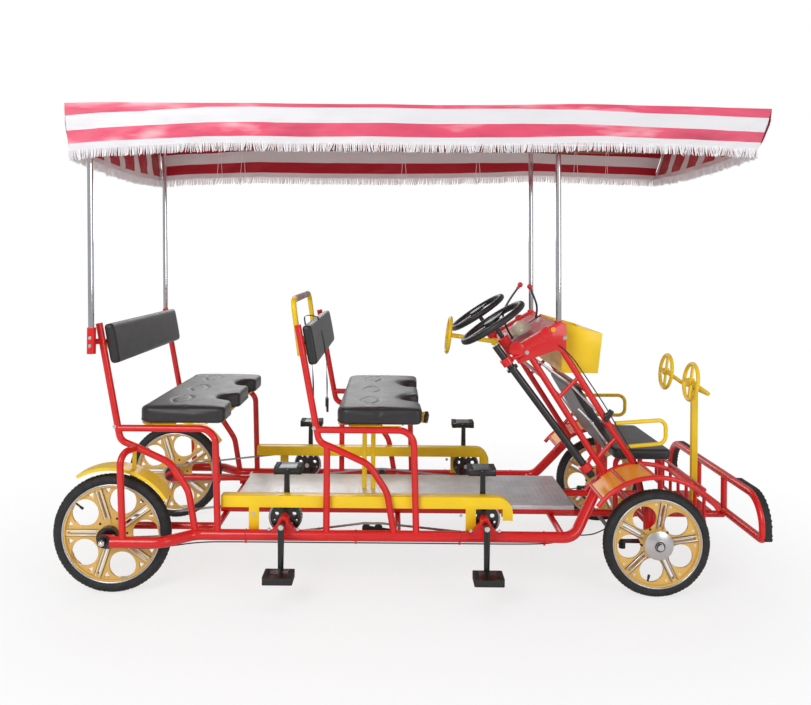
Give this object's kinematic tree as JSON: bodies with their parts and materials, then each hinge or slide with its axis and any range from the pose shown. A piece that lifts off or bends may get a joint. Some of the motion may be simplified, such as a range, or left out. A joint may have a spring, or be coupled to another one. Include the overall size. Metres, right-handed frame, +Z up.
{
  "type": "surrey quadricycle",
  "caption": "Pedal-driven surrey with two benches and a child seat in front under a striped, fringed canopy on posts, with steered front wheels, a basket and a padded bumper.",
  "frame": {"origin": "on the ground under the middle of the overall length and width", "axes": "+X forward, +Y to the vehicle's left, +Z up"},
  "size_m": [2.74, 1.246, 1.864],
  "materials": {
    "black_metal": "black enamel",
    "black_plastic": "moulded black plastic",
    "canopy_cloth": "red and white striped awning cloth",
    "chrome_tube": "bright plated tube",
    "floor_plate": "checker plate",
    "gold_wheel": "cast wheel, pale gold paint",
    "orange_paint": "gloss powder coat",
    "red_paint": "gloss powder coat",
    "roof_tube": "brown painted tube",
    "rubber": "treaded bumper rubber",
    "seat_vinyl": "embossed vinyl over foam",
    "steel": "oiled roller chain",
    "tyre": "moulded rubber with a road tread",
    "yellow_paint": "gloss powder coat"
  },
  "bodies": {
    "chassis": {"armrests": "yellow_paint", "axle_beam": "red_paint", "back_bars": "red_paint", "backrest_middle": "seat_vinyl", "backrest_rear": "seat_vinyl", "basket": "yellow_paint", "brake_lever": "yellow_paint", "bumper": "red_paint", "bumper_rubber": "rubber", "canopy": "canopy_cloth", "chain_guards": "yellow_paint", "chain_tensioners": "black_plastic", "chains": "steel", "child_backrest": "seat_vinyl", "child_seat_pad": "seat_vinyl", "crank_brackets": "red_paint", "cross_tubes": "red_paint", "dash_tray": "red_paint", "fender_frames": "red_paint", "fender_panels": "orange_paint", "floor_plate": "floor_plate", "front_frame": "red_paint", "grab_bar": "yellow_paint", "inner_rails": "red_paint", "rear_fenders": "yellow_paint", "rear_stays": "red_paint", "roof_bows": "roof_tube", "roof_posts": "chrome_tube", "roof_rails": "roof_tube", "seat_frame_middle": "red_paint", "seat_frame_rear": "red_paint", "seat_pad_middle": "seat_vinyl", "seat_pad_rear": "seat_vinyl", "seat_pans": "yellow_paint", "side_rails": "red_paint", "tower": "red_paint", "tower_bars": "red_paint", "toy_post": "yellow_paint", "toy_wheels": "yellow_paint"},
    "rear_wheel_right": {"tyre_rear_right": "tyre", "rim_rear_right": "gold_wheel", "rear_axle_right": "black_metal"},
    "rear_wheel_left": {"tyre_rear_left": "tyre", "rim_rear_left": "gold_wheel", "rear_axle_left": "black_metal"},
    "front_wheel_right": {"tyre_front_right": "tyre", "rim_front_right": "gold_wheel"},
    "front_wheel_left": {"tyre_front_left": "tyre", "rim_front_left": "gold_wheel"},
    "knuckle_right": {"knuckle_right": "black_metal"},
    "knuckle_left": {"knuckle_left": "black_metal"},
    "tie_rod": {"tie_rod": "black_metal"},
    "steering_right": {"steering_wheel_right": "black_plastic"},
    "steering_left": {"steering_wheel_left": "black_plastic"},
    "column": {"steering_column": "black_metal"},
    "crank_rear_right": {"crank_rear_right": "black_metal"},
    "crank_rear_left": {"crank_rear_left": "black_metal"},
    "crank_front_right": {"crank_front_right": "black_metal"},
    "crank_front_left": {"crank_front_left": "black_metal"}
  },
  "joints": [
    {"name": "rear_wheel_right_spin", "type": "hinge", "parent": "chassis", "child": "rear_wheel_right", "pos_m": [-1.1415, -0.44, 0.2285], "axis": [0, 1, 0], "continuous": true},
    {"name": "crank_rear_right_spin", "type": "hinge", "parent": "chassis", "child": "crank_rear_right", "pos_m": [-0.48, -0.44, 0.282], "axis": [0, 1, 0], "continuous": true},
    {"name": "crank_front_right_spin", "type": "hinge", "parent": "chassis", "child": "crank_front_right", "pos_m": [0.295, -0.44, 0.282], "axis": [0, 1, 0], "continuous": true},
    {"name": "rear_wheel_left_spin", "type": "hinge", "parent": "chassis", "child": "rear_wheel_left", "pos_m": [-1.1415, 0.44, 0.2285], "axis": [0, 1, 0], "continuous": true},
    {"name": "crank_rear_left_spin", "type": "hinge", "parent": "chassis", "child": "crank_rear_left", "pos_m": [-0.48, 0.44, 0.282], "axis": [0, 1, 0], "continuous": true},
    {"name": "crank_front_left_spin", "type": "hinge", "parent": "chassis", "child": "crank_front_left", "pos_m": [0.295, 0.44, 0.282], "axis": [0, 1, 0], "continuous": true},
    {"name": "steering_right_turn", "type": "hinge", "parent": "chassis", "child": "steering_right", "pos_m": [0.337, -0.3, 1.04], "axis": [-0.5592, 0, 0.829], "range_deg": [-45, 45]},
    {"name": "steering_left_turn", "type": "hinge", "parent": "chassis", "child": "steering_left", "pos_m": [0.337, 0.3, 1.04], "axis": [-0.5592, 0, 0.829], "continuous": true},
    {"name": "column_turn", "type": "hinge", "parent": "chassis", "child": "column", "pos_m": [0.34, -0.362, 0.955], "axis": [-0.6025, 0, 0.7981], "range_deg": [-45, 45]},
    {"name": "knuckle_right_steer", "type": "hinge", "parent": "chassis", "child": "knuckle_right", "pos_m": [0.9585, -0.365, 0.25], "axis": [0, 0, 1], "range_deg": [-30, 30]},
    {"name": "front_wheel_right_spin", "type": "hinge", "parent": "knuckle_right", "child": "front_wheel_right", "pos_m": [0.9585, -0.44, 0.207], "axis": [0, 1, 0], "continuous": true},
    {"name": "knuckle_left_steer", "type": "hinge", "parent": "chassis", "child": "knuckle_left", "pos_m": [0.9585, 0.365, 0.25], "axis": [0, 0, 1], "range_deg": [-30, 30]},
    {"name": "front_wheel_left_spin", "type": "hinge", "parent": "knuckle_left", "child": "front_wheel_left", "pos_m": [0.9585, 0.44, 0.207], "axis": [0, 1, 0], "continuous": true},
    {"name": "tie_rod_pivot", "type": "hinge", "parent": "knuckle_right", "child": "tie_rod", "pos_m": [0.8485, -0.365, 0.17], "axis": [0, 0, 1], "range_deg": [-30, 30]}
  ],
  "couplings": [
    {"joint": "column_turn", "follows": "steering_right_turn", "ratio": 1},
    {"joint": "knuckle_right_steer", "follows": "steering_right_turn", "ratio": 0.66667},
    {"joint": "knuckle_left_steer", "follows": "steering_right_turn", "ratio": 0.66667},
    {"joint": "tie_rod_pivot", "follows": "steering_right_turn", "ratio": -0.66667},
    {"joint": "crank_front_right_spin", "follows": "crank_rear_right_spin", "ratio": 1},
    {"joint": "crank_front_left_spin", "follows": "crank_rear_left_spin", "ratio": 1}
  ]
}
